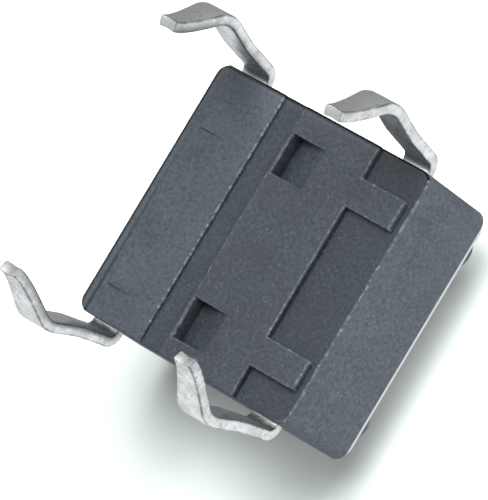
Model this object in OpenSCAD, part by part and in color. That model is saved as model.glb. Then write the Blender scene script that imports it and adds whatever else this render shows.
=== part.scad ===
// Tactile push button switch for through-hole mounting, button up.
// The origin is the middle of the underside, on the plane that seats on the circuit board.
// X runs along the pitch of the leads, Y across them, and +Z towards the button.

/* [Housing] */
// Length of the housing along X, at its top
body_l = 6; // [5.7:0.1:6.8]
// Width of the housing along Y
body_w = 6; // [5.7:0.1:6.8]
// Height of the moulded base
base_h = 2.8; // [2.6:0.05:3.4]
// How far each end wall leans in at its foot
draft = 0.14; // [0:0.02:0.16]
// Radius of the upright corners
corner_r = 0.35; // [0.15:0.05:0.5]

/* [Underside] */
// Length of the recess at each end, from the foot of the end wall
recess_l = 1.34; // [1.1:0.02:1.5]
// Depth of the recess at the +X end
recess_depth = 0.18; // [0.08:0.02:0.24]
// Depth of the same recess at the -X end, where the mould was nearly filled up
shallow_depth = 0.04; // [0.02:0.01:0.1]
// Distance from the middle line to each pad that stands in a recess
pad_in = 1.55; // [1.3:0.05:1.7]
// Width of each pad
pad_w = 0.7; // [0.5:0.01:0.8]
// Gap between a pad and the end wall
pad_gap = 0.16; // [0.05:0.01:0.3]
// Width of the seat strip, from the foot of the -X wall to the groove
strip_w = 1.85; // [1.6:0.05:1.95]
// Width of the groove
groove_w = 0.55; // [0.3:0.05:0.6]
// Depth of the groove
groove_depth = 0.1; // [0.04:0.02:0.2]
// Length of each core pocket along X, from its deep end to where its ramp runs out
pocket_l = 0.95; // [0.6:0.05:1.1]
// Width of each core pocket along Y
pocket_w = 0.94; // [0.6:0.02:1]
// Depth of each core pocket at its deep end
pocket_depth = 0.42; // [0.2:0.02:0.42]
// Distance between the middles of the two pockets
pocket_pitch = 3.96; // [3.8:0.02:4.2]
// How far both pockets lie off the middle line, towards +Y
pocket_shift = 0.08; // [0:0.02:0.1]

/* [Leads] */
// Distance between the two leads on one side
lead_pitch = 4.5; // [4.2:0.1:4.8]
// Width of a lead
lead_w = 0.72; // [0.5:0.02:0.8]
// Width of a lead at its tip
tip_w = 0.42; // [0.3:0.02:0.48]
// Thickness of the stamped sheet
sheet_t = 0.25; // [0.15:0.05:0.35]
// Height of the sheet's lower face above the seat plane
lead_z = 0.45; // [0.4:0.05:0.6]
// Distance from the side wall to the corner of the first bend
shoulder = 0.28; // [0.28:0.02:0.5]
// Depth of the slight knee below the seat plane
knee_z = 0.75; // [0.5:0.05:1.2]
// Distance between opposite leads at the knee
knee_span = 6.86; // [6.8:0.02:7.2]
// Depth of the snap-in kink below the seat plane
kink_z = 1.95; // [1.7:0.05:2.3]
// Distance between opposite leads at the kink
kink_span = 7.4; // [7.1:0.02:7.7]
// Depth of the middle of a lead's tip below the seat plane
tip_z = 3.4; // [3:0.05:4]
// Distance between opposite leads at their tips
tip_span = 5.7; // [5.4:0.02:6.4]
// Radius of the first bend, to the middle of the sheet
bend_r = 0.3; // [0.2:0.02:0.3]
// Radius of the knee and the kink, to the middle of the sheet
kink_r = 0.5; // [0.2:0.05:0.8]
// How far the centre terminal's +Y tip is bent sideways, away from the other terminal
set_side = 0.22; // [0:0.02:0.3]
// How far the same tip is bent outwards
set_out = 0.22; // [0:0.02:0.3]

/* [Contacts] */
// Diameter of the centre contact
centre_d = 1.3; // [1:0.05:1.5]
// Width of the tongue that carries the centre contact
tongue_w = 0.7; // [0.5:0.05:0.9]
// Diameter of the coined bump on the centre contact
bump_d = 0.7; // [0.4:0.05:0.9]
// Height of the coined bump
bump_h = 0.08; // [0.03:0.01:0.09]
// Gap between the centre contact and each rim contact arm
contact_gap = 0.35; // [0.2:0.05:0.4]
// Width of each rim contact arm
rim_arm_w = 0.4; // [0.3:0.05:0.45]
// Gap between the ends of the rim contact arms and the other terminal
terminal_gap = 0.3; // [0.2:0.05:0.5]

/* [Snap dome] */
// Diameter of the snap dome
dome_d = 4; // [3.6:0.05:4.2]
// Thickness of the snap dome
dome_t = 0.07; // [0.04:0.01:0.1]
// Clearance round the dome in its seat
dome_clear = 0.05; // [0.02:0.01:0.1]
// Height of the dome's seat above its floor
seat_h = 0.5; // [0.3:0.05:0.8]

/* [Button] */
// Height of the button's top above the seat plane
switch_h = 4.3; // [3.9:0.1:7]
// Diameter of the button
button_d = 3.5; // [3:0.05:3.6]
// Travel of the button
travel = 0.25; // [0.1:0.01:0.25]
// Width of the flange that keeps the button in
flange_w = 0.45; // [0.3:0.05:0.5]
// Thickness of the flange
flange_t = 0.6; // [0.3:0.05:0.8]
// Diameter of the nose that presses the dome
nose_d = 1.4; // [0.8:0.1:2]
// Radius of the button's top edge
button_edge_r = 0.15; // [0.05:0.05:0.4]
// Clearance between the button and the cover's hole
guide_clear = 0.05; // [0.02:0.01:0.1]
// Clearance between the flange and the well in the base
flange_clear = 0.1; // [0.05:0.01:0.15]
// Free play above the flange and under the nose
end_play = 0.02; // [0.01:0.01:0.05]

/* [Cover plate] */
// Thickness of the cover plate
cover_t = 0.3; // [0.2:0.05:0.4]
// How far the cover plate stays inside the housing's top
cover_inset = 0.12; // [0.05:0.01:0.16]
// Diameter of each rivet post
rivet_d = 0.7; // [0.5:0.05:0.8]
// Clearance between a rivet post and its hole
rivet_clear = 0.04; // [0.02:0.01:0.06]
// Diameter of each staked rivet head
head_d = 1; // [0.95:0.05:1.1]
// Height of each staked rivet head
head_h = 0.4; // [0.1:0.02:0.44]
// Share of a rivet head's height that its rounded edge takes
head_round_share = 0.5; // [0.2:0.1:0.8]
// Distance from the end wall's top to the middle of a rivet
rivet_edge_l = 0.7; // [0.68:0.02:0.8]
// Distance from the side wall to the middle of a rivet
rivet_edge_w = 0.9; // [0.7:0.05:0.95]

/* [Hidden] */

ROUND_FN = 64;
BEND_STEPS = 8;
DOME_STEPS = 14;
EPS = 0.01;

foot_x = body_l / 2 - draft;
floor_z = lead_z + sheet_t;
lead_x = lead_pitch / 2;
rail_in = lead_x - lead_w / 2;
sheet_mid_z = lead_z + sheet_t / 2;
rim_arm_in = centre_d / 2 + contact_gap;
dome_rise = bump_h + travel + end_play;
dome_top_z = floor_z + dome_rise + dome_t;
flange_d = button_d + 2 * flange_w;
well_d = flange_d + 2 * flange_clear;
nose_z = dome_top_z + end_play;
flange_top_z = base_h - end_play;
rivet_x = body_l / 2 - rivet_edge_l;
rivet_y = body_w / 2 - rivet_edge_w;
cover_top_z = base_h + cover_t;
head_round = head_h * head_round_share;

PLASTIC = [0.32, 0.34, 0.37];
BLACK_PLASTIC = [0.12, 0.12, 0.13];
TINNED = [0.82, 0.83, 0.82];
STEEL = [0.70, 0.71, 0.73];

// Direction of travel from point a to point b
function heading(a, b) = atan2(b[1] - a[1], b[0] - a[0]);

// Stations [point, heading] round the bend of radius r at point b, between points a and c
function bend(a, b, c, r) =
    let (inward = heading(a, b), turn = heading(b, c) - inward, hand = sign(turn))
    let (start = b - r * tan(abs(turn) / 2) * [cos(inward), sin(inward)])
    let (centre = start + hand * r * [-sin(inward), cos(inward)])
    [for (i = [0:BEND_STEPS])
        let (h = inward + turn * i / BEND_STEPS)
        [centre + hand * r * [sin(h), -cos(h)], h]];

// Points that lie a distance d to the left of each station
function beside(stations, d) = [for (s = stations) s[0] + d * [-sin(s[1]), cos(s[1])]];

// The same list from its end to its start
function backwards(list) = [for (i = [len(list) - 1:-1:0]) list[i]];

// The same points on the other side of the middle line
function opposite(points) = [for (p = points) [-p[0], p[1]]];

// Height of the dome's lower face at radius r, above its rim
function dome_height(r) =
    let (sphere_r = (pow(dome_d / 2, 2) + pow(dome_rise, 2)) / (2 * dome_rise))
    sqrt(pow(sphere_r, 2) - r * r) - (sphere_r - dome_rise);

// Rectangle l by w with corners of radius r
module rounded_plate(l, w, r) {
    square([l - 2 * r, w], center = true);
    square([l, w - 2 * r], center = true);
    for (x = [-1, 1], y = [-1, 1])
        translate([x * (l / 2 - r), y * (w / 2 - r)]) circle(r, $fn = ROUND_FN);
}

// Copies of the children at both signs of X and Y
module four_corners() {
    for (x = [0, 1], y = [0, 1])
        mirror([x, 0, 0]) mirror([0, y, 0]) children();
}

// Both sides of the middle line
module both_sides() {
    for (y = [0, 1]) mirror([0, y, 0]) children();
}

// Upright prism whose +X end wall leans in at its foot, and its rounded corners with it
module leaning_prism() {
    lean = atan2(draft, base_h);
    translate([foot_x, 0, 0]) rotate([0, lean, 0]) translate([-body_l, 0, -body_l])
        linear_extrude(3 * body_l) rounded_plate(2 * body_l, body_w, corner_r);
}

// Block of the housing: both end walls lean in towards the underside
module housing_block() {
    intersection() {
        leaning_prism();
        mirror([1, 0, 0]) leaning_prism();
        translate([-body_l, -body_w, 0]) cube([2 * body_l, 2 * body_w, base_h]);
    }
}

// Recess of one end, open at the end wall, with a pad left standing on each side
module end_recess(depth) {
    recess_x = foot_x - recess_l;
    reach = recess_l + draft + EPS;
    difference() {
        translate([recess_x, -body_w / 2 - EPS, -EPS])
            cube([reach, body_w + 2 * EPS, depth + EPS]);
        both_sides() translate([recess_x - EPS, pad_in, -2 * EPS])
            cube([recess_l - pad_gap + EPS, pad_w, depth + 3 * EPS]);
    }
}

// Groove beside the seat strip
module groove() {
    translate([-foot_x + strip_w, -body_w / 2 - EPS, -EPS])
        cube([groove_w, body_w + 2 * EPS, groove_depth + EPS]);
}

// Core pockets: deep beside the groove, with a floor that ramps out of the underside
module core_pockets() {
    deep_x = -foot_x + strip_w + groove_w;
    out_x = deep_x + pocket_l;
    translate([0, pocket_shift, 0]) both_sides()
        translate([0, (pocket_pitch + pocket_w) / 2, 0]) rotate([90, 0, 0]) linear_extrude(pocket_w)
            polygon([[deep_x, -EPS], [out_x, -EPS], [out_x, 0], [deep_x, pocket_depth]]);
}

// Round well for the button, with the narrower seat of the dome below it
module well() {
    translate([0, 0, floor_z])
        cylinder(h = base_h, d = dome_d + 2 * dome_clear, $fn = ROUND_FN);
    translate([0, 0, floor_z + seat_h])
        cylinder(h = base_h, d = well_d, $fn = ROUND_FN);
}

// Rivet post with its staked head, rounded at its edge
module rivet() {
    translate([rivet_x, rivet_y, base_h - EPS])
        cylinder(h = cover_t + 2 * EPS, d = rivet_d, $fn = ROUND_FN);
    translate([rivet_x, rivet_y, cover_top_z]) rotate_extrude($fn = ROUND_FN) {
        square([head_d / 2, head_h - head_round]);
        square([head_d / 2 - head_round, head_h]);
        intersection() {
            translate([head_d / 2 - head_round, head_h - head_round])
                circle(head_round, $fn = ROUND_FN);
            square([head_d / 2, head_h]);
        }
    }
}

// Stations along one half of a terminal strip, from inside the base to a tip at tip_y
function strip_half(tip_y) =
    let (flat = [body_w / 2 - lead_w, sheet_mid_z], corner = [body_w / 2 + shoulder, sheet_mid_z])
    let (knee = [knee_span / 2, -knee_z], kink = [kink_span / 2, -kink_z], tip = [tip_y, -tip_z])
    concat(
        bend(flat, corner, knee, bend_r),
        bend(corner, knee, kink, kink_r),
        bend(knee, kink, tip, kink_r),
        [[tip, heading(kink, tip)]]);

// Terminal strip at the middle of X: flat through the base, then bent down to a tip on each side,
// with its +Y tip set side further along -X and out further along +Y
module bent_strip(side = 0, out = 0) {
    near = strip_half(tip_span / 2);
    far = strip_half(tip_span / 2 + out);
    outer = concat(backwards(opposite(beside(near, sheet_t / 2))), beside(far, sheet_t / 2));
    inner = concat(backwards(opposite(beside(near, -sheet_t / 2))), beside(far, -sheet_t / 2));
    intersection() {
        rotate([90, 0, 90]) translate([0, 0, -lead_w / 2 - side]) linear_extrude(lead_w + side)
            polygon(concat(outer, backwards(inner)));
        union() {
            strip_front(0);
            mirror([0, 1, 0]) strip_front(-side);
        }
    }
}

// Front outline of the strip's -Y half: full width down to the kink, then a taper to a tip at tip_x
module strip_front(tip_x) {
    past = 1 + sheet_t / (tip_z - kink_z);
    end_z = -kink_z - past * (tip_z - kink_z);
    left = -lead_w / 2 + past * (tip_x + (lead_w - tip_w) / 2);
    right = lead_w / 2 + past * (tip_x - (lead_w - tip_w) / 2);
    rotate([90, 0, 0]) linear_extrude(kink_span)
        polygon([[-lead_w / 2, floor_z], [lead_w / 2, floor_z], [lead_w / 2, -kink_z],
                 [right, end_z], [left, end_z], [-lead_w / 2, -kink_z]]);
}

// Outline of the tongue and round contact that reach from the -X strip to the middle
module centre_contact_outline() {
    translate([-lead_x, -tongue_w / 2]) square([lead_x, tongue_w]);
    circle(d = centre_d, $fn = ROUND_FN);
}

// Outline of the two arms that reach from the +X strip under the rim of the dome
module rim_arms_outline() {
    arm_end = -rail_in + terminal_gap;
    for (side = [0, 1]) mirror([0, side])
        translate([arm_end, rim_arm_in]) square([lead_x - arm_end, rim_arm_w]);
}

// Space that the moulding leaves for both terminals
module terminal_slots() {
    translate([0, 0, lead_z]) linear_extrude(sheet_t) {
        for (x = [-lead_x, lead_x])
            translate([x - lead_w / 2, -body_w / 2 - EPS]) square([lead_w, body_w + 2 * EPS]);
        centre_contact_outline();
        rim_arms_outline();
    }
}

module base() {
    color(PLASTIC) {
        difference() {
            housing_block();
            end_recess(recess_depth);
            mirror([1, 0, 0]) end_recess(shallow_depth);
            groove();
            core_pockets();
            well();
            terminal_slots();
        }
        four_corners() rivet();
    }
}

module cover_plate() {
    color(STEEL) translate([0, 0, base_h]) difference() {
        linear_extrude(cover_t)
            rounded_plate(body_l - 2 * cover_inset, body_w - 2 * cover_inset, corner_r);
        translate([0, 0, -EPS])
            cylinder(h = cover_t + 2 * EPS, d = button_d + 2 * guide_clear, $fn = ROUND_FN);
        four_corners() translate([rivet_x, rivet_y, -EPS])
            cylinder(h = cover_t + 2 * EPS, d = rivet_d + 2 * rivet_clear, $fn = ROUND_FN);
    }
}

module button() {
    flange_z = flange_top_z - flange_t;
    color(BLACK_PLASTIC) rotate_extrude($fn = ROUND_FN) {
        translate([0, nose_z]) square([nose_d / 2, flange_z - nose_z + EPS]);
        translate([0, flange_z]) square([flange_d / 2, flange_t]);
        translate([0, flange_z]) square([button_d / 2, switch_h - button_edge_r - flange_z]);
        translate([0, flange_z]) square([button_d / 2 - button_edge_r, switch_h - flange_z]);
        intersection() {
            translate([button_d / 2 - button_edge_r, switch_h - button_edge_r])
                circle(button_edge_r, $fn = ROUND_FN);
            translate([0, flange_z]) square([button_d / 2, switch_h]);
        }
    }
}

module snap_dome() {
    radii = [for (i = [0:DOME_STEPS]) dome_d / 2 * i / DOME_STEPS];
    lower = [for (r = radii) [r, dome_height(r)]];
    upper = [for (r = radii) [r, dome_height(r) + dome_t]];
    color(STEEL) translate([0, 0, floor_z]) rotate_extrude($fn = ROUND_FN)
        polygon(concat(lower, backwards(upper)));
}

module centre_terminal() {
    color(TINNED) {
        translate([-lead_x, 0, 0]) bent_strip(set_side, set_out);
        translate([0, 0, lead_z]) linear_extrude(sheet_t) centre_contact_outline();
        translate([0, 0, lead_z]) cylinder(h = sheet_t + bump_h, d = bump_d, $fn = ROUND_FN);
    }
}

module rim_terminal() {
    color(TINNED) {
        translate([lead_x, 0, 0]) bent_strip();
        translate([0, 0, lead_z]) linear_extrude(sheet_t) rim_arms_outline();
    }
}

base();
cover_plate();
button();
snap_dome();
centre_terminal();
rim_terminal();
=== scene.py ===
"""Looks of a tactile push button switch.

Six pieces: moulded base, steel cover, push button cap, snap disc and two stamped terminals.
"""
import math

import bmesh
import bpy
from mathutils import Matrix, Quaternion, Vector


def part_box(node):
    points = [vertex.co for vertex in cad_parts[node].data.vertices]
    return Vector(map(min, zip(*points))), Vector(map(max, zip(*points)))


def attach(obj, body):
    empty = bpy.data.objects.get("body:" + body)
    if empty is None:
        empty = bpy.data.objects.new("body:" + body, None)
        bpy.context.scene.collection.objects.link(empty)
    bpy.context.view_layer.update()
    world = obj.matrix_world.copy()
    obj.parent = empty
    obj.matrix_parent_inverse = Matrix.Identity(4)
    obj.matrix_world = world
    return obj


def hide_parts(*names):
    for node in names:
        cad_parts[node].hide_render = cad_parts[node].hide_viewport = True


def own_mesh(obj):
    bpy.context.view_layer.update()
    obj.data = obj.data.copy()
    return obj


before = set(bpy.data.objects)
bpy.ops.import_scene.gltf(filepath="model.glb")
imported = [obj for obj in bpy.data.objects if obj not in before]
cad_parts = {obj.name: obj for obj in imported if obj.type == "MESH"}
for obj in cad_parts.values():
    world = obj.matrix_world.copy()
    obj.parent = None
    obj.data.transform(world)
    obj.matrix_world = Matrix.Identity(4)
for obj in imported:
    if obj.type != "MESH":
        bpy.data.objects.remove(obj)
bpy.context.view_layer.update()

MM = 0.001

# The camera looks at the underside, as the photograph does
VIEW_AZIMUTH = 93.96
VIEW_ELEVATION = -57.97
VIEW_ROLL = 124.29
VIEW_DISTANCE = 106.78 * MM
VIEW_AIM = Vector((0.007, 0.247, 0.012)) * MM
LENS = 371.5
SENSOR = 36
CLIP_NEAR = 1 * MM
CLIP_FAR = 2

# Levels of the housing, from the frame
BASE_LOW, BASE_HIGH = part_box("base")
COVER_LOW, COVER_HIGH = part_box("cover_plate")
BUTTON_LOW, BUTTON_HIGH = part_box("button")
DISC_LOW, DISC_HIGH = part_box("snap_dome")
LEAD_LOW, LEAD_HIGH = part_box("rim_terminal")
BASE_TOP = COVER_LOW.z
WELL_FLOOR = DISC_LOW.z

# Housing and its underside
DRAFT = 0.1 * MM
CORNER_R = 0.28 * MM
RECESS_L = 1.34 * MM
RECESS_DEPTH = 0.18 * MM
SHALLOW_DEPTH = 0.11 * MM
PAD_IN = 1.55 * MM
PAD_W = 0.7 * MM
PAD_GAP = 0.16 * MM
LEDGE_GAP = 0.42 * MM
LEDGE_END = 1.7 * MM
STRIP_W = 1.85 * MM
GROOVE_W = 0.55 * MM
GROOVE_DEPTH = 0.1 * MM
POCKET_L = 0.9 * MM
POCKET_W = 0.94 * MM
POCKET_DEPTH = 0.42 * MM
POCKET_PITCH = 3.96 * MM
POCKET_SHIFT = 0.08 * MM
POCKET_LIP = 0.1 * MM
FOOT_X = BASE_HIGH.x - DRAFT
WALL_Y = BASE_HIGH.y

# Well, rivets and cover
SEAT_R = 2.05 * MM
SEAT_H = 0.5 * MM
WELL_R = 2.3 * MM
RIVET_X = 2.3 * MM
RIVET_Y = 2.1 * MM
RIVET_R = 0.35 * MM
RIVET_CLEAR = 0.04 * MM
HEAD_R = 0.5 * MM
HEAD_ROUND = 0.2 * MM
BUTTON_HOLE_R = 1.8 * MM

# Button
NOSE_R = 0.7 * MM
FLANGE_R = 2.2 * MM
FLANGE_T = 0.6 * MM
END_PLAY = 0.02 * MM
BUTTON_R = 1.75 * MM
BUTTON_TOP_ROUND = 0.15 * MM

# Snap disc
DISC_R = 2 * MM
DISC_T = 0.07 * MM

# Terminals. A lead's corners are given across the part and upwards
LEAD_X = 2.25 * MM
LEAD_W = 0.72 * MM
TIP_W = 0.42 * MM
SHEET_T = 0.25 * MM
SHEET_LOW = LEAD_HIGH.z - SHEET_T
SHEET_MID = LEAD_HIGH.z - SHEET_T / 2
SHOULDER = 0.28 * MM
KNEE = Vector((3.43, -0.75)) * MM
KINK = Vector((3.7, -1.95)) * MM
TIP = Vector((2.85, -3.4)) * MM
BEND_R = 0.3 * MM
KNEE_R = 2 * MM
KINK_R = 0.9 * MM
FLARE = 0.12 * MM
FLARE_POWER = 4
SET_SIDE = 0.22 * MM
SET_OUT = 0.22 * MM
CONTACT_R = 0.65 * MM
TONGUE_W = 0.7 * MM
BUMP_R = 0.35 * MM
BUMP_TOP = LEAD_HIGH.z + 0.08 * MM
ARM_IN = 1 * MM
ARM_W = 0.4 * MM
ARM_END = -1.59 * MM

# Sheared end of a lead: the height of its zone, how squarely its faces look along the lead,
# and the pushes that hollow it, as shares of the tip's width and of the hollow's depth
END_ZONE = 0.6 * SHEET_T
END_FACING = 0.6
END_CUTS = 3
END_HOLLOW = 0.05 * MM
END_PUSHES = ((0.3, 0.6), (0.1, 0.4))

# Rounding of edges
MOULDED_EDGE = 0.042 * MM
LEDGE_EDGE = 0.03 * MM
ROLLED_EDGE = 0.05 * MM
SHEARED_EDGE = 0.035 * MM
SHARP_ANGLE = math.radians(30)

# Number of steps in curved and rounded forms
EDGE_STEPS = 2
ROLLED_STEPS = 3
HEAD_STEPS = 6
CORNER_STEPS = 8
BEND_STEPS = 8
ROUND_STEPS = 96
DISC_SPOKES = 64
SPHERE_RINGS = 240

# How squarely a normal or an edge points along an axis: roughly, and nearly along it
ROUGHLY = 0.5
NEARLY = 0.9

# A length too small to matter, and how far a cutter reaches past the part
TINY = 0.001 * MM
PAST = 1 * MM

# Tones of the housing: its lapped faces; its edges, lighter from wear and partly as a painted highlight; its
# hollows, darker as painted shade; and its outline, a dark line of painted shade
FACE_TONE = (0.033, 0.040, 0.049)
EDGE_WEAR_HIGHLIGHT_TONE = (0.090, 0.104, 0.122)
HOLLOW_SHADE_TONE = (0.020, 0.026, 0.033)
OUTLINE_SHADE_TONE = (0.008, 0.009, 0.011)

# Numbers of the housing's materials
FACES = 0
EDGES = 1
HOLLOWS_PAINTED_SHADE = 2
OUTLINE_PAINTED_SHADE = 3

# Filled plastic of the housing. A run is the stretch of a noise that counts, and what its ends are taken to.
# The times of a mark say how bright it is beside the tone of its face
PLASTIC_IOR = 1.46
PLASTIC_ROUGH = (0.5, 0.64)
OUTLINE_IOR = 1.1
CLOUD_SIZE = 0.9 * MM
GRAIN_SIZE = 0.09 * MM
GRAIN_DEPTH = 0.012 * MM
GRAIN_SHARE = 0.75
PORE_SIZE = 0.025 * MM
PORE_SHARE = 0.2
MOTTLE_RUN = (0.36, 0.64, -0.5, 0.5)
MOTTLE_TIMES = (0.55, 1.45)
CHIP_SIZE = 0.11 * MM
CHIP_RUN = (0.56, 0.50)
PATCH_SIZE = 0.6 * MM
PATCH_RUN = (0.45, 0.6)
PALE_SPECK_GAP = 0.08 * MM
PALE_SPECK_REACH = 0.42
PALE_SPECK_TIMES = 2.2
DARK_SPECK_GAP = 0.11 * MM
DARK_SPECK_REACH = 0.4
DARK_SPECK_TIMES = 0.4
SPECK_SHARE = 0.4

# Where the housing is rubbed paler: from one X to another, and how much at each
RUBBED_STRIP = (-1.2 * MM, -0.3 * MM, 0.62, 0.2)
RUBBED_END = (1.6 * MM, 2.9 * MM, 0, 0.15)

# Along the rims of the -X and -Y walls: the width of a light band, part wear and part painted highlight, and
# of the dark line of painted shade outside it
RIM_WEAR_HIGHLIGHT = 0.2 * MM
RIM_WEAR_HIGHLIGHT_SHARE = 0.25
RIM_SHADE_LINE = 0.05 * MM
RIM_SHADE_LINE_SHARE = 0.9
RIM_SHADE_LINE_TIMES = 0.15

# Plastic of the button
BUTTON_TONES = ((0.016, 0.017, 0.019), (0.026, 0.027, 0.030))
BUTTON_IOR = 1.49
BUTTON_ROUGH = (0.34, 0.46)
BUTTON_CLOUD_SIZE = 0.7 * MM
BUTTON_GRAIN_SIZE = 0.03 * MM
BUTTON_GRAIN_DEPTH = 0.0015 * MM

# Tin of the terminals, and bare brass at their sheared ends
TIN_BRIGHT = (0.94, 0.94, 0.93)
TIN_DULL = (0.68, 0.68, 0.66)
TIN_PIT = (0.32, 0.32, 0.31)
TIN_HANDLED = (0.36, 0.36, 0.355)
BARE_TONES = ((0.36, 0.36, 0.35), (0.66, 0.66, 0.65))
# Rounded lead edges are painted darker than the tin: painted shade for the dark lines along them
TIN_EDGE_PAINTED_SHADE = 0.72
TIN_ROUGH = (0.26, 0.46)
BLOTCH_SIZE = 0.35 * MM
BLOTCH_SHARE = 0.65
BLOTCH_RELIEF = 0.6
FINE_SIZE = 0.06 * MM
DULL_RUN = (0.40, 0.60)
HANDLED_DULL = 0.06
HANDLED_SHARE = 0.25
PIT_GAP = 0.14 * MM
PIT_REACH = 0.35
PIT_SHARE = 0.4
PIT_DARK = 0.5
PIT_RELIEF = 0.3
TIN_DEPTH = 0.012 * MM
TORN_SIZE = 0.05 * MM
TORN_STRETCH = (1, 1, 3)
TORN_DEPTH = 0.01 * MM
BARE_ROUGH = (0.45, 0.65)

# Numbers of a terminal's materials on its rounded edges, darker as painted shade, and its sheared ends
TIN_SHADED_EDGES = 1
TIN_ENDS = 2

# Nickel of the cover and steel of the disc
NICKEL_TONES = ((0.70, 0.69, 0.67), (0.78, 0.77, 0.75))
NICKEL_ROUGH = (0.24, 0.36)
NICKEL_CLOUD_SIZE = 0.8 * MM
ROLLING_SIZE = 0.02 * MM
ROLLING_STRETCH = (0.04, 1, 1)
ROLLING_DEPTH = 0.0012 * MM
STEEL_TONES = ((0.60, 0.60, 0.60), (0.70, 0.70, 0.69))
STEEL_ROUGH = (0.18, 0.3)
STEEL_GRAIN_SIZE = 0.04 * MM
STEEL_GRAIN_DEPTH = 0.001 * MM

# Shader nodes: the usual run of a noise, the soft edge and core of a dot, a Mix node's colour output
NOISE_RUN = (0.3, 0.7)
DOT_STEP = 0.02
DOT_CORE = 0.4
MIX_COLOUR = 2

# Floor, room and lights
FLOOR_RADIUS = 16 * MM
FLOOR_TONE = (0.74, 0.80, 0.765)
FLOOR_FADE = (0.6, 0.95)
ROOM_TONE = (0.90, 0.93, 0.96)
DIM_TONE = (0.30, 0.305, 0.31)
DIM_SIDE = Vector((-0.72, -0.5, 0.38)).normalized()
DIM_RUN = (0.3, 0.85)
SCATTERED_CUT = 0.72
LIGHT_DISTANCE = 90 * MM


class Value:
    """An output socket of a shader node. Python's operators on it add Math nodes."""

    def __init__(self, finish, socket):
        self.finish = finish
        self.socket = socket

    def math(self, operation, *others):
        return self.finish.add("ShaderNodeMath", {"operation": operation}, self, *others)

    def __add__(self, other):
        return self.math("ADD", other)

    def __radd__(self, other):
        return self.math("ADD", other)

    def __sub__(self, other):
        return self.math("SUBTRACT", other)

    def __rsub__(self, other):
        return self.finish.add("ShaderNodeMath", {"operation": "SUBTRACT"}, other, self)

    def __mul__(self, other):
        return self.math("MULTIPLY", other)

    def __rmul__(self, other):
        return self.math("MULTIPLY", other)


class Finish:
    """A material or world built node by node."""

    def __init__(self, owner):
        owner.use_nodes = True
        self.owner = owner
        self.tree = owner.node_tree
        self.tree.nodes.clear()

    def add(self, kind, settings, *values, output=0, **named):
        """Adds any node: its settings, then the values or links of its sockets, in order or by identifier."""
        node = self.tree.nodes.new(kind)
        for key, setting in settings.items():
            setattr(node, key, setting)
        sockets = {socket.identifier.replace(" ", "_"): socket for socket in node.inputs}
        fed = [*zip(node.inputs, values)]
        fed += [(sockets[key], value) for key, value in named.items()]
        for socket, value in fed:
            if isinstance(value, Value):
                self.tree.links.new(value.socket, socket)
            else:
                socket.default_value = value
        return Value(self, node.outputs[output]) if node.outputs else None

    def place(self):
        """Object coordinates, in metres."""
        return self.add("ShaderNodeTexCoord", {}, output="Object")

    def along(self, axis):
        """The object coordinate along X, Y or Z, in metres."""
        return self.add("ShaderNodeSeparateXYZ", {}, self.place(), output=axis)

    def noise(self, size, detail=2, roughness=0.5, stretch=(1, 1, 1)):
        """Noise whose grains are about size metres across, from 0 to 1."""
        where = self.add("ShaderNodeMapping", {}, self.place(), Scale=stretch)
        return self.add("ShaderNodeTexNoise", {}, where, Scale=1 / size, Detail=detail, Roughness=roughness)

    def dots(self, gap, reach, share):
        """1 in small round spots about gap metres apart, kept in a share of the places."""
        near = self.add("ShaderNodeTexVoronoi", {}, self.place(), Scale=1 / gap)
        chance = self.add("ShaderNodeTexVoronoi", {}, self.place(), Scale=1 / gap, output="Color")
        red = self.add("ShaderNodeSeparateColor", {}, chance)
        kept = self.ramp(red, 1 - share, 1 - share + DOT_STEP)
        return self.ramp(near, reach, reach * DOT_CORE) * kept

    def ramp(self, value, low, high, to_low=0, to_high=1):
        """value taken from low and high to to_low and to_high, and held there."""
        return self.add("ShaderNodeMapRange", {"clamp": True}, value, low, high, to_low, to_high)

    def spread(self, noise, low, high):
        """The usual run of a noise taken to low and high."""
        return self.ramp(noise, *NOISE_RUN, low, high)

    def mixed(self, share, first, second):
        """first where share is 0, second where it is 1, for colours."""
        return self.add(
            "ShaderNodeMix", {"data_type": "RGBA"}, share, A_Color=first, B_Color=second, output=MIX_COLOUR)

    def bump(self, height, depth, strength=1):
        """Normal of a surface whose height runs over depth metres."""
        return self.add("ShaderNodeBump", {}, strength, depth, Height=height)

    def surface(self, **sockets):
        """The Principled shader, as the material's surface."""
        shader = self.add("ShaderNodeBsdfPrincipled", {}, **sockets)
        self.add("ShaderNodeOutputMaterial", {}, shader)
        return self.owner


def colour(red, green, blue, times=1):
    """Opaque colour, made times as bright."""
    return (red * times, green * times, blue * times, 1)


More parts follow.
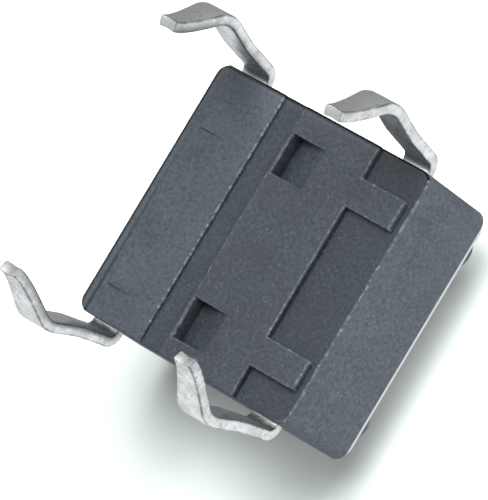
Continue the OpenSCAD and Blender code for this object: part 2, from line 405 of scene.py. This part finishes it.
def moulded_plastic(name, tone, speck, chipped=0, ior=PLASTIC_IOR):
    """Matte filled plastic: coarse grain, soft clouds, specks, and a light band of wear and painted highlight
    inside a dark rim line of painted shade.
    """
    finish = Finish(bpy.data.materials.new(name))
    clouds = finish.noise(CLOUD_SIZE, detail=3)
    grain = finish.noise(GRAIN_SIZE, detail=4, roughness=0.75)
    pores = finish.noise(PORE_SIZE)
    x, y, z = (finish.along(axis) for axis in "XYZ")

    rubbed = finish.ramp(x, *RUBBED_STRIP) + finish.ramp(x, *RUBBED_END)
    mottle = (1 - GRAIN_SHARE) * clouds + GRAIN_SHARE * grain
    shade = finish.ramp(mottle, *MOTTLE_RUN) + rubbed
    body = finish.mixed(shade, *(colour(*tone, times) for times in MOTTLE_TIMES))
    chips = finish.ramp(finish.noise(CHIP_SIZE, detail=3, roughness=0.7), *CHIP_RUN)
    body = finish.mixed(chips * chipped, body, colour(*FACE_TONE))

    # Near the -X and -Y rims: a lighter band, part wear and part painted highlight, and outside it a dark
    # line of painted shade
    from_rim = (x + FOOT_X).math("MINIMUM", y + WALL_Y)
    low = finish.ramp(z, SHALLOW_DEPTH + MOULDED_EDGE, SHALLOW_DEPTH)
    rim_wear_highlight = finish.ramp(from_rim, RIM_WEAR_HIGHLIGHT, MOULDED_EDGE) * low * RIM_WEAR_HIGHLIGHT_SHARE
    body = finish.mixed(rim_wear_highlight, body, colour(*EDGE_WEAR_HIGHLIGHT_TONE))
    rim_shade_line = finish.ramp(from_rim, MOULDED_EDGE + RIM_SHADE_LINE, MOULDED_EDGE + RIM_SHADE_LINE / 2)
    body = finish.mixed(rim_shade_line * low * RIM_SHADE_LINE_SHARE, body, colour(*tone, RIM_SHADE_LINE_TIMES))

    patches = finish.ramp(finish.noise(PATCH_SIZE), *PATCH_RUN)
    pale = finish.dots(PALE_SPECK_GAP, PALE_SPECK_REACH, SPECK_SHARE) * patches * speck
    body = finish.mixed(pale, body, colour(*tone, PALE_SPECK_TIMES))
    dark = finish.dots(DARK_SPECK_GAP, DARK_SPECK_REACH, SPECK_SHARE) * speck
    body = finish.mixed(dark, body, colour(*tone, DARK_SPECK_TIMES))
    return finish.surface(
        Base_Color=body,
        Roughness=finish.spread(clouds, *PLASTIC_ROUGH),
        IOR=ior,
        Normal=finish.bump(grain * (1 - PORE_SHARE) + pores * PORE_SHARE, GRAIN_DEPTH),
    )


def button_plastic():
    """Black plastic of the button, a little glossier than the base."""
    finish = Finish(bpy.data.materials.new("button_black"))
    clouds = finish.noise(BUTTON_CLOUD_SIZE, detail=3)
    grain = finish.noise(BUTTON_GRAIN_SIZE)
    return finish.surface(
        Base_Color=finish.mixed(clouds, *(colour(*tone) for tone in BUTTON_TONES)),
        Roughness=finish.spread(clouds, *BUTTON_ROUGH),
        IOR=BUTTON_IOR,
        Normal=finish.bump(grain, BUTTON_GRAIN_DEPTH, strength=0.6),
    )


def tinned_sheet(name, shade):
    """Hot-tinned brass: bright, with dull blotches, small pits and handled tips. shade is its brightness."""
    finish = Finish(bpy.data.materials.new(name))
    blotches = finish.noise(BLOTCH_SIZE, detail=4, roughness=0.6)
    fine = finish.noise(FINE_SIZE, detail=3, roughness=0.6)
    pits = finish.dots(PIT_GAP, PIT_REACH, PIT_SHARE)
    handled = finish.ramp(finish.along("Z"), KINK.y, TIP.y)
    worn = BLOTCH_SHARE * blotches + (1 - BLOTCH_SHARE) * fine + HANDLED_DULL * handled
    dull = finish.ramp(worn, *DULL_RUN)
    metal = finish.mixed(dull, colour(*TIN_BRIGHT, shade), colour(*TIN_DULL, shade ** 3))
    metal = finish.mixed(pits * PIT_DARK, metal, colour(*TIN_PIT))
    metal = finish.mixed(dull * handled * HANDLED_SHARE, metal, colour(*TIN_HANDLED))
    relief = BLOTCH_RELIEF * blotches + (1 - BLOTCH_RELIEF) * fine - PIT_RELIEF * pits
    return finish.surface(
        Base_Color=metal,
        Metallic=1,
        Roughness=finish.ramp(dull, 0, 1, *TIN_ROUGH),
        Normal=finish.bump(relief, TIN_DEPTH, strength=0.7),
    )


def sheared_brass():
    """Bare sheared end of a lead, rough and dull."""
    finish = Finish(bpy.data.materials.new("sheared_end"))
    torn = finish.noise(TORN_SIZE, detail=3, roughness=0.6, stretch=TORN_STRETCH)
    return finish.surface(
        Base_Color=finish.mixed(torn, *(colour(*tone) for tone in BARE_TONES)),
        Metallic=1,
        Roughness=finish.spread(torn, *BARE_ROUGH),
        Normal=finish.bump(torn, TORN_DEPTH, strength=0.8),
    )


def satin_nickel():
    """Nickel-plated steel of the cover, with fine rolling lines along X."""
    finish = Finish(bpy.data.materials.new("nickel_plate"))
    lines = finish.noise(ROLLING_SIZE, detail=3, roughness=0.6, stretch=ROLLING_STRETCH)
    clouds = finish.noise(NICKEL_CLOUD_SIZE)
    return finish.surface(
        Base_Color=finish.mixed(clouds, *(colour(*tone) for tone in NICKEL_TONES)),
        Metallic=1,
        Roughness=finish.spread(lines, *NICKEL_ROUGH),
        Normal=finish.bump(lines, ROLLING_DEPTH, strength=0.6),
    )


def spring_steel():
    """Stainless spring steel of the snap disc."""
    finish = Finish(bpy.data.materials.new("spring_steel"))
    grain = finish.noise(STEEL_GRAIN_SIZE, detail=3)
    return finish.surface(
        Base_Color=finish.mixed(grain, *(colour(*tone) for tone in STEEL_TONES)),
        Metallic=1,
        Roughness=finish.spread(grain, *STEEL_ROUGH),
        Normal=finish.bump(grain, STEEL_GRAIN_DEPTH, strength=0.5),
    )


def only(piece):
    """Selects piece alone and makes it active."""
    bpy.ops.object.select_all(action="DESELECT")
    piece.select_set(True)
    bpy.context.view_layer.objects.active = piece


def placed(name):
    """Names the primitive that was just added and puts its place into its mesh."""
    piece = bpy.context.object
    piece.name = name
    bpy.ops.object.transform_apply(location=True, rotation=True, scale=True)
    return piece


def block(name, low, high):
    """Block between two corners."""
    low, high = Vector(low), Vector(high)
    bpy.ops.object.select_all(action="DESELECT")
    bpy.ops.mesh.primitive_cube_add(size=1, location=(low + high) / 2, scale=high - low)
    return placed(name)


def drum(name, x, y, radius, low, high):
    """Upright cylinder between two levels."""
    bpy.ops.object.select_all(action="DESELECT")
    bpy.ops.mesh.primitive_cylinder_add(
        vertices=ROUND_STEPS, radius=radius, depth=high - low, location=(x, y, (low + high) / 2))
    return placed(name)


def copied(piece, x, y):
    """Copy of a piece with its own mesh, moved along X and Y."""
    only(piece)
    bpy.ops.object.duplicate(linked=False)
    twin = bpy.context.object
    twin.location = (x, y, 0)
    bpy.ops.object.transform_apply(location=True, rotation=True, scale=True)
    return twin


def pick(piece, kind, test):
    """Enters edit mode with the vertices, edges or faces of piece that pass test selected."""
    only(piece)
    bpy.ops.object.mode_set(mode="EDIT")
    bpy.ops.mesh.select_mode(type=kind)
    bpy.ops.mesh.select_all(action="DESELECT")
    bpy.ops.object.mode_set(mode="OBJECT")
    mesh = piece.data
    parts = {"VERT": mesh.vertices, "EDGE": mesh.edges, "FACE": mesh.polygons}[kind]
    for part in parts:
        part.select = test(part)
    bpy.ops.object.mode_set(mode="EDIT")


def pick_top(piece):
    """Enters edit mode with the faces selected that look up."""
    pick(piece, "FACE", lambda face: face.normal.z > ROUGHLY)


def pick_edges(piece, test):
    """Enters edit mode with those outer edges selected whose middle and direction pass test."""
    only(piece)
    shell = bmesh.new()
    shell.from_mesh(piece.data)
    for part in [*shell.verts, *shell.edges, *shell.faces]:
        part.select = False
    for edge in shell.edges:
        if edge.is_manifold and edge.calc_face_angle_signed() > SHARP_ANGLE:
            first, second = (vert.co for vert in edge.verts)
            edge.select_set(test((first + second) / 2, (second - first).normalized()))
    shell.to_mesh(piece.data)
    shell.free()
    bpy.context.tool_settings.mesh_select_mode = (False, True, False)
    bpy.ops.object.mode_set(mode="EDIT")


def leave_edit():
    """Goes back to object mode."""
    bpy.ops.object.mode_set(mode="OBJECT")


def bevel_edges(piece, width, segments, test, **settings):
    """Bevels the outer edges that pass test, with any further settings of the operator."""
    pick_edges(piece, test)
    bpy.ops.mesh.bevel(offset=width, segments=segments, affect="EDGES", **settings)
    leave_edit()


def round_edges(piece, width, test, segments=EDGE_STEPS, worn=0, clamp=True):
    """Rounds the outer edges that pass test. The new faces take the material whose number is passed for them:
    on the housing a lighter one for wear and painted highlight, on the terminals a darker one for painted
    shade.
    """
    bevel_edges(piece, width, segments, test, clamp_overlap=clamp, loop_slide=False, material=worn)


def round_corners(piece):
    """Rounds the four upright corners of a block."""
    bevel_edges(piece, CORNER_R, CORNER_STEPS, lambda middle, along: abs(along.z) > NEARLY)


def cut_through(piece, place, normal, clear_inner=False):
    """Cuts all faces of a piece along a plane, and can take away what lies behind it."""
    pick(piece, "FACE", lambda face: True)
    bpy.ops.mesh.bisect(plane_co=place, plane_no=normal, clear_inner=clear_inner, threshold=TINY / 10)
    leave_edit()


def step_up(scale, rise):
    """Steps the selected round end out or in about the Z axis, then draws it up."""
    bpy.ops.mesh.extrude_region_move()
    bpy.ops.transform.resize(value=(scale, scale, 1), center_override=(0, 0, 0))
    bpy.ops.mesh.extrude_region_move(TRANSFORM_OT_translate={"value": (0, 0, rise)})


def apply_modifier(piece, name, kind, **settings):
    """Adds a modifier, sets it and applies it."""
    modifier = piece.modifiers.new(name, kind)
    for key, setting in settings.items():
        setattr(modifier, key, setting)
    only(piece)
    bpy.ops.object.modifier_apply(modifier=name)


def combine(piece, other, operation="DIFFERENCE", keep=False):
    """Cuts other out of piece, or joins it to piece."""
    apply_modifier(piece, operation.lower(), "BOOLEAN", object=other, operation=operation, solver="EXACT")
    if not keep:
        bpy.data.objects.remove(other)


def combine_copies(piece, other, places, operation="DIFFERENCE"):
    """Cuts a copy of other out of piece at each place, or joins it there."""
    for x, y in places:
        combine(piece, copied(other, x, y), operation)
    bpy.data.objects.remove(other)


def painted(piece, *materials, number=0):
    """Gives a piece its materials, and all its faces the one with this number."""
    for material in materials:
        piece.data.materials.append(material)
    for face in piece.data.polygons:
        face.material_index = number
    return piece


def finished(piece, node, body):
    """Shades a piece, ties it to its body and hides its CAD node."""
    only(piece)
    bpy.ops.object.shade_smooth_by_angle(angle=SHARP_ANGLE)
    apply_modifier(piece, "flat_faces", "WEIGHTED_NORMAL", keep_sharp=True, weight=80)
    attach(piece, body)
    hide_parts(node)
    return piece


def rivet_places():
    """X and Y of the four rivets."""
    return [(x * RIVET_X, y * RIVET_Y) for x in (-1, 1) for y in (-1, 1)]


def pocket_places():
    """Y of the middle of each pocket."""
    return [POCKET_SHIFT + side * POCKET_PITCH / 2 for side in (-1, 1)]


def housing_block():
    """Block with end walls that lean in at the foot, round corners and a seam through each pocket."""
    piece = block("moulded_base", (BASE_LOW.x, BASE_LOW.y, 0), (BASE_HIGH.x, BASE_HIGH.y, BASE_TOP))
    pick(piece, "FACE", lambda face: face.normal.z < -ROUGHLY)
    bpy.ops.transform.resize(value=(FOOT_X / BASE_HIGH.x, 1, 1), center_override=(0, 0, 0))
    leave_edit()
    round_corners(piece)
    for y in pocket_places():
        cut_through(piece, (0, y, 0), (0, 1, 0))
    return piece


def end_recess(side, depth, gap):
    """Cutter for one end's recess. Two pads stand in it, a gap away from the wall's foot."""
    inner_x, outer_x = FOOT_X - RECESS_L, BASE_HIGH.x + PAST
    low_x, high_x = sorted((side * inner_x, side * outer_x))
    cutter = block("recess", (low_x, -WALL_Y - PAST, -PAST), (high_x, WALL_Y + PAST, depth))
    if side < 0:
        slope_floor(cutter, low_x, high_x, depth)
    pad_x = sorted((side * (inner_x - PAST), side * (FOOT_X - gap)))
    for y in (-1, 1):
        pad_y = sorted((y * PAD_IN, y * (PAD_IN + PAD_W)))
        combine(cutter, block("pad", (pad_x[0], pad_y[0], -2 * PAST), (pad_x[1], pad_y[1], PAST)))
    return cutter


def slope_floor(cutter, outer_x, inner_x, depth):
    """Tilts the floor of the -X recess: depth at the wall's foot, nothing at the ledges' end."""
    slope = depth / (FOOT_X - LEDGE_END)
    for x in (outer_x, inner_x):
        pick(cutter, "VERT", lambda vert: vert.co.z > 0 and abs(vert.co.x - x) < TINY)
        bpy.ops.transform.translate(value=(0, 0, slope * (abs(x) - LEDGE_END) - depth))
        leave_edit()


def groove_block():
    """Cutter for the groove beside the seat strip."""
    x = -FOOT_X + STRIP_W
    return block("groove", (x, -WALL_Y - PAST, -PAST), (x + GROOVE_W, WALL_Y + PAST, GROOVE_DEPTH))


def core_pocket():
    """Cutter for a pocket whose floor ramps up out of the underside, on the middle line."""
    deep_x = -FOOT_X + STRIP_W + GROOVE_W + POCKET_LIP
    far_x = deep_x + POCKET_L + PAST
    slope = POCKET_DEPTH / POCKET_L
    cutter = block("pocket", (deep_x, -POCKET_W / 2, -PAST), (far_x, POCKET_W / 2, POCKET_DEPTH))
    pick(cutter, "VERT", lambda vert: vert.co.z > 0 and vert.co.x > deep_x + TINY)
    bpy.ops.transform.translate(value=(0, 0, -(POCKET_L + PAST) * slope))
    leave_edit()
    return cutter


def rivet():
    """Rivet post with its staked head, on the Z axis."""
    piece = drum("rivet", 0, 0, RIVET_R, BASE_TOP - SHEARED_EDGE, COVER_HIGH.z)
    pick_top(piece)
    step_up(HEAD_R / RIVET_R, BASE_HIGH.z - COVER_HIGH.z)
    leave_edit()
    bevel_edges(piece, HEAD_ROUND, HEAD_STEPS, lambda middle, along: middle.z > BASE_HIGH.z - TINY)
    return piece


def housing_plastics():
    """Plastic of the housing's faces, its lighter edges from wear and painted highlight, its hollows darkened
    as painted shade, and its dark outline of painted shade, in the order of their numbers.
    """
    return [
        moulded_plastic("housing_plastic", FACE_TONE, 0.5),
        moulded_plastic("housing_plastic_edges", EDGE_WEAR_HIGHLIGHT_TONE, 0.8, chipped=1),
        moulded_plastic("housing_plastic_hollows", HOLLOW_SHADE_TONE, 0.6),
        moulded_plastic("housing_plastic_outline", OUTLINE_SHADE_TONE, 0.2, ior=OUTLINE_IOR)]


def moulded_base(terminals):
    """Base with its relieved underside, well and staked rivet heads, moulded round both terminals."""
    plastics = housing_plastics()
    piece = painted(housing_block(), *plastics)
    # The +X recess and the groove take the darker hollow plastic: painted shade in these hollows
    for hollow in (end_recess(1, RECESS_DEPTH, PAD_GAP), groove_block()):
        combine(piece, painted(hollow, *plastics, number=HOLLOWS_PAINTED_SHADE))
    combine_copies(piece, painted(core_pocket(), *plastics), [(0, y) for y in pocket_places()])
    combine(piece, painted(end_recess(-1, SHALLOW_DEPTH, LEDGE_GAP), *plastics))
    combine(piece, drum("seat", 0, 0, SEAT_R, WELL_FLOOR, BASE_TOP + PAST))
    combine(piece, drum("well", 0, 0, WELL_R, WELL_FLOOR + SEAT_H, BASE_TOP + PAST))
    # The rounded underside edges take the lighter edge plastic: wear and painted highlight
    round_edges(piece, MOULDED_EDGE, on_underside, worn=EDGES, clamp=False)
    # Rounded outline edges of the -X and -Y walls take a dark plastic as painted shade; the lighter edge
    # plastic is taken off the +Y wall and off the +X wall above its foot
    for face in piece.data.polygons:
        if face.material_index == EDGES and on_outline(face.center):
            face.material_index = OUTLINE_PAINTED_SHADE
        elif face.material_index == EDGES and on_end_wall(face.center):
            face.material_index = FACES
    round_edges(piece, LEDGE_EDGE, lambda middle, along: in_ledge(middle))
    combine_copies(piece, rivet(), rivet_places(), "UNION")
    for terminal in terminals:
        combine(piece, terminal, keep=True)
    return finished(piece, "base", "housing")


def on_underside(middle, along):
    """Whether an edge belongs to the lower half of the housing, apart from the ledges."""
    return middle.z < BASE_TOP / 2 and not in_ledge(middle)


def on_outline(place):
    """Whether a place is on the lower outline of the -X and -Y walls."""
    at_wall = place.x < -FOOT_X + CORNER_R / 2 or place.y < -WALL_Y + CORNER_R / 2
    return at_wall and place.z < RECESS_DEPTH + MOULDED_EDGE


def on_end_wall(place):
    """Whether a place is on the +Y wall, or on the +X wall above its foot."""
    foot = RECESS_DEPTH + 2 * MOULDED_EDGE
    return place.y > WALL_Y - MOULDED_EDGE or place.x > FOOT_X - MOULDED_EDGE and place.z > foot


def in_ledge(place):
    """Whether a place is on the shallow ledges at the -X end of the underside."""
    between = -FOOT_X + LEDGE_GAP / 2 < place.x < -FOOT_X + RECESS_L + TINY
    return between and place.z < SHALLOW_DEPTH + TINY and abs(place.y) < WALL_Y - TINY


def steel_cover():
    """Stamped cover plate, rolled over at its upper edges, with holes for the button and the rivets."""
    piece = block("steel_cover", COVER_LOW, COVER_HIGH)
    round_corners(piece)
    holes = [(0, 0, BUTTON_HOLE_R)]
    holes += [(x, y, RIVET_R + RIVET_CLEAR) for x, y in rivet_places()]
    for hole in holes:
        combine(piece, drum("hole", *hole, COVER_LOW.z - PAST, COVER_HIGH.z + PAST))
    round_edges(piece, ROLLED_EDGE, lambda middle, along: middle.z > COVER_HIGH.z - TINY, ROLLED_STEPS)
    round_edges(piece, SHEARED_EDGE, lambda middle, along: middle.z < COVER_LOW.z + TINY)
    return finished(painted(piece, satin_nickel()), "cover_plate", "housing")


def push_button_cap():
    """Button with its nose, flange and rounded top."""
    flange_top = BASE_TOP - END_PLAY
    piece = drum("push_button_cap", 0, 0, NOSE_R, BUTTON_LOW.z, flange_top - FLANGE_T)
    pick_top(piece)
    radius = NOSE_R
    for wider, rise in ((FLANGE_R, FLANGE_T), (BUTTON_R, BUTTON_HIGH.z - flange_top)):
        step_up(wider / radius, rise)
        radius = wider
    leave_edit()
    bevel_edges(piece, BUTTON_TOP_ROUND, CORNER_STEPS, lambda middle, along: middle.z > BUTTON_HIGH.z - TINY)
    round_edges(piece, MOULDED_EDGE, lambda middle, along: middle.z < flange_top + TINY)
    return finished(painted(piece, button_plastic()), "button", "push_button")


def snap_disc():
    """Domed disc that lies on the rim contacts and buckles under the button."""
    rise = DISC_HIGH.z - DISC_LOW.z - DISC_T
    sphere_r = (DISC_R ** 2 + rise ** 2) / (2 * rise)
    centre = (0, 0, DISC_LOW.z + rise - sphere_r)
    bpy.ops.object.select_all(action="DESELECT")
    bpy.ops.mesh.primitive_uv_sphere_add(
        segments=DISC_SPOKES, ring_count=SPHERE_RINGS, radius=sphere_r, location=centre)
    piece = placed("snap_disc")
    cut_through(piece, (0, 0, DISC_LOW.z), (0, 0, 1), clear_inner=True)
    apply_modifier(piece, "sheet", "SOLIDIFY", thickness=DISC_T, offset=1)
    finished(painted(piece, spring_steel()), "snap_dome", "housing")
    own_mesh(piece)
    return piece


def bend_lead(piece, side, set_side=0, set_out=0):
    """Draws one lead out of the strip's end: first bend, knee and snap-in kink, then the tapered tip."""
    tip = TIP + Vector((set_out, 0))
    here = Vector((WALL_Y - LEAD_W, SHEET_MID))
    corners = [here, Vector((WALL_Y + SHOULDER, SHEET_MID)), KNEE, KINK, tip]
    pick(piece, "FACE", lambda face: face.normal.y * side > ROUGHLY and face.center.y * side > 0)
    for before, corner, after, radius in zip(corners, corners[1:], corners[2:], (BEND_R, KNEE_R, KINK_R)):
        inward, onward = (corner - before).normalized(), (after - corner).normalized()
        turn = inward.angle_signed(onward)
        reach = radius * math.tan(abs(turn) / 2)
        start = corner - inward * reach
        run = start - here
        bpy.ops.mesh.extrude_region_move(TRANSFORM_OT_translate={"value": (0, side * run.x, run.y)})
        centre = start + math.copysign(radius, turn) * Vector((inward.y, -inward.x))
        bpy.ops.mesh.spin(
            steps=BEND_STEPS, angle=turn, center=(0, side * centre.x, centre.y), axis=(side, 0, 0))
        here = corner + onward * reach
    leave_edit()
    draw_tip(piece, side, here, tip, set_side)


def draw_tip(piece, side, start, tip, set_side):
    """Last run of a lead: it narrows, bows inwards and flares out at its sheared end."""
    run = tip - start
    onward = run.normalized()
    outward = Vector((-run.y, run.x)).normalized()
    lead_x = math.copysign(LEAD_X, middle_of(piece).x)
    top = start.y + SHEET_T
    pick(piece, "FACE", lambda face: face.center.z < top and looks_along(face, side, onward, NEARLY))
    here, here_x, width = start, 0, LEAD_W
    for step in range(1, BEND_STEPS + 1):
        share = step / BEND_STEPS
        there = start + run * share - outward * FLARE * (share - share ** FLARE_POWER)
        there_x = set_side * share
        wide = LEAD_W + (TIP_W - LEAD_W) * share
        move = (there_x - here_x, side * (there.x - here.x), there.y - here.y)
        bpy.ops.mesh.extrude_region_move(TRANSFORM_OT_translate={"value": move})
        bpy.ops.transform.resize(value=(wide / width, 1, 1), center_override=(lead_x + there_x, 0, 0))
        here, here_x, width = there, there_x, wide
    leave_edit()
    hollow_end(piece, side, lead_x + set_side, -onward)


def hollow_end(piece, side, tip_x, back):
    """Pushes the middle of a lead's sheared end back, so that its corners stand out."""
    pick(piece, "EDGE", lambda edge: is_end_edge(piece, edge, tip_x, side))
    bpy.ops.mesh.subdivide(number_cuts=END_CUTS)
    leave_edit()
    for width_share, depth_share in END_PUSHES:
        reach = TIP_W * width_share
        depth = END_HOLLOW * depth_share
        pick(piece, "VERT", lambda vert: is_end(vert.co, side) and abs(vert.co.x - tip_x) < reach)
        bpy.ops.transform.translate(value=(0, side * back.x * depth, back.y * depth))
        leave_edit()


def middle_of(piece):
    """Mean place of a piece's vertices."""
    places = [vert.co for vert in piece.data.vertices]
    return sum(places, Vector()) / len(places)


def is_end(place, side):
    """Whether a place is at the sheared end of the lead on this side."""
    return place.z < TIP.y + END_ZONE and place.y * side > 0


def is_end_edge(piece, edge, tip_x, side):
    """Whether an edge runs across the sheared end of the lead on this side."""
    first, second = (piece.data.vertices[number].co for number in edge.vertices)
    across = abs(first.x - second.x) > TIP_W * NEARLY
    centred = abs((first.x + second.x) / 2 - tip_x) < TINY
    return across and centred and is_end(first, side) and is_end(second, side)


def looks_along(face, side, run, least):
    """Whether a face looks along a run of the lead on this side, at least that squarely."""
    return face.center.y * side > 0 and face.normal.y * side * run.x + face.normal.z * run.y > least


def terminal_strip(name, x):
    """Strip of one terminal as it lies across the base, before its ends are bent."""
    flat_y = WALL_Y - LEAD_W
    return block(name, (x - LEAD_W / 2, -flat_y, SHEET_LOW), (x + LEAD_W / 2, flat_y, LEAD_HIGH.z))


def centre_terminal(tin):
    """Terminal on the -X side: a tongue with the centre contact, and one tip that was bent aside."""
    piece = terminal_strip("centre_terminal_stamping", -LEAD_X)
    bend_lead(piece, -1)
    bend_lead(piece, 1, -SET_SIDE, SET_OUT)
    tongue = block("tongue", (-LEAD_X, -TONGUE_W / 2, SHEET_LOW), (0, TONGUE_W / 2, LEAD_HIGH.z))
    combine(piece, tongue, "UNION")
    combine(piece, drum("contact", 0, 0, CONTACT_R, SHEET_LOW, LEAD_HIGH.z), "UNION")
    combine(piece, drum("bump", 0, 0, BUMP_R, SHEET_MID, BUMP_TOP), "UNION")
    return stamped(piece, "centre_terminal", tin)


def rim_terminal(tin):
    """Terminal on the +X side: two arms that carry the rim of the disc."""
    piece = terminal_strip("rim_terminal_stamping", LEAD_X)
    for side in (-1, 1):
        bend_lead(piece, side)
        low_y, high_y = sorted((side * ARM_IN, side * (ARM_IN + ARM_W)))
        combine(piece, block("arm", (ARM_END, low_y, SHEET_LOW), (LEAD_X, high_y, LEAD_HIGH.z)), "UNION")
    return stamped(piece, "rim_terminal", tin)


def stamped(piece, node, tin):
    """Tins a stamping, rounds the edges of its leads and bares their sheared ends."""
    run = (TIP - KINK).normalized()
    painted(piece, *tin)
    # The rounded lead edges take the darker tin: painted shade
    round_edges(piece, SHEARED_EDGE, on_lead_edge, worn=TIN_SHADED_EDGES, clamp=False)
    for face in piece.data.polygons:
        if any(is_end(face.center, side) and looks_along(face, side, run, END_FACING) for side in (-1, 1)):
            face.material_index = TIN_ENDS
    return finished(piece, node, "housing")


def on_lead_edge(middle, along):
    """Whether an edge runs along a lead or round its sheared end."""
    on_lead = abs(middle.y) > WALL_Y - LEAD_W
    return on_lead and (abs(along.x) < ROUGHLY or middle.z < TIP.y + SHEET_T)


def view_turn():
    """Direction from the aim to the camera, and the camera's turn."""
    azimuth, elevation = math.radians(VIEW_AZIMUTH), math.radians(VIEW_ELEVATION)
    back = Vector((
        math.sin(azimuth) * math.cos(elevation),
        -math.cos(azimuth) * math.cos(elevation),
        math.sin(elevation)))
    level = (-back).to_track_quat("-Z", "Y")
    return back, level @ Quaternion((0, 0, 1), math.radians(VIEW_ROLL))


def make_camera():
    """Camera at the photograph's angle."""
    back, turn = view_turn()
    bpy.ops.object.camera_add(location=VIEW_AIM + back * VIEW_DISTANCE, rotation=turn.to_euler())
    camera = bpy.context.object
    camera.data.lens = LENS
    camera.data.sensor_width = SENSOR
    camera.data.clip_start = CLIP_NEAR
    camera.data.clip_end = CLIP_FAR
    bpy.context.scene.camera = camera


def floor_paint(name):
    """Pale floor, seen from its upper side only, that fades out away from the part."""
    finish = Finish(bpy.data.materials.new(name))
    paint = finish.add("ShaderNodeBsdfDiffuse", {}, colour(*FLOOR_TONE))
    clear = finish.add("ShaderNodeBsdfTransparent", {})
    behind = finish.add("ShaderNodeNewGeometry", {}, output="Backfacing")
    distance = finish.add("ShaderNodeVectorMath", {"operation": "LENGTH"}, finish.place(), output="Value")
    fade = finish.ramp(distance, *(FLOOR_RADIUS * share for share in FLOOR_FADE))
    gone = (fade + behind).math("MINIMUM", 1)
    finish.add("ShaderNodeOutputMaterial", {}, finish.add("ShaderNodeMixShader", {}, gone, paint, clear))
    return finish.owner


def make_floor(name, level, faces_up):
    """A round floor that only the camera sees, so that the other floor and the light pass it by."""
    turn = 0 if faces_up else math.pi
    bpy.ops.mesh.primitive_circle_add(
        vertices=ROUND_STEPS, radius=FLOOR_RADIUS, fill_type="NGON",
        location=(0, 0, level), rotation=(turn, 0, 0))
    floor = bpy.context.object
    floor.name = name
    floor.data.materials.append(floor_paint(name + "_paint"))
    for ray in ("diffuse", "glossy", "transmission", "volume_scatter", "shadow"):
        setattr(floor, "visible_" + ray, False)


def make_world():
    """White room with a dimmer far side, which the tin and nickel mirror."""
    world = bpy.data.worlds.new("white_room")
    bpy.context.scene.world = world
    finish = Finish(world)
    towards = finish.add("ShaderNodeTexCoord", {})
    facing = finish.add(
        "ShaderNodeVectorMath", {"operation": "DOT_PRODUCT"}, towards, tuple(DIM_SIDE), output="Value")
    room = finish.mixed(finish.ramp(facing, *DIM_RUN), colour(*ROOM_TONE), colour(*DIM_TONE))
    seen = finish.add("ShaderNodeLightPath", {}, output="Is Camera Ray")
    scattered = finish.add("ShaderNodeLightPath", {}, output="Is Diffuse Ray")
    shown = finish.mixed(seen, room, colour(1, 1, 1))
    back = finish.add("ShaderNodeBackground", {}, shown, 1 - SCATTERED_CUT * scattered)
    finish.add("ShaderNodeOutputWorld", {}, back)


def make_light(name, direction, power, size, mirrored=False):
    """Square soft light that shines at the part from direction. mirrored says whether metal shows it."""
    towards = Vector(direction).normalized()
    turn = towards.to_track_quat("Z", "Y").to_euler()
    bpy.ops.object.light_add(type="AREA", location=towards * LIGHT_DISTANCE, rotation=turn)
    light = bpy.context.object
    light.name = name
    light.data.size = size
    light.data.energy = power
    light.visible_camera = False
    light.visible_glossy = mirrored


def make_stage():
    """Room, floors on both sides of the part, and lights."""
    bpy.context.scene.view_settings.view_transform = "Standard"
    make_world()
    make_floor("floor_under_button", BUTTON_HIGH.z, faces_up=False)
    make_floor("floor_under_leads", LEAD_LOW.z, faces_up=True)
    make_light("overhead_softbox", (0.04, -0.22, -1), power=0.056, size=50 * MM, mirrored=True)
    make_light("key_softbox", (0.12, -0.5, -1), power=0.125, size=70 * MM)
    make_light("side_fill", (1, -0.3, -0.15), power=0.050, size=70 * MM)
    make_light("table_bounce", (1, 0.1, 0.5), power=0.160, size=70 * MM)
    make_light("upper_softbox", (-0.3, -0.5, 1), power=0.130, size=60 * MM)


make_camera()
make_stage()
# The second tin is the darker one for the rounded lead edges: painted shade
tin = [tinned_sheet("tinned_brass", 1), tinned_sheet("tinned_brass_edges", TIN_EDGE_PAINTED_SHADE), sheared_brass()]
moulded_base([centre_terminal(tin), rim_terminal(tin)])
steel_cover()
push_button_cap()
snap_disc()
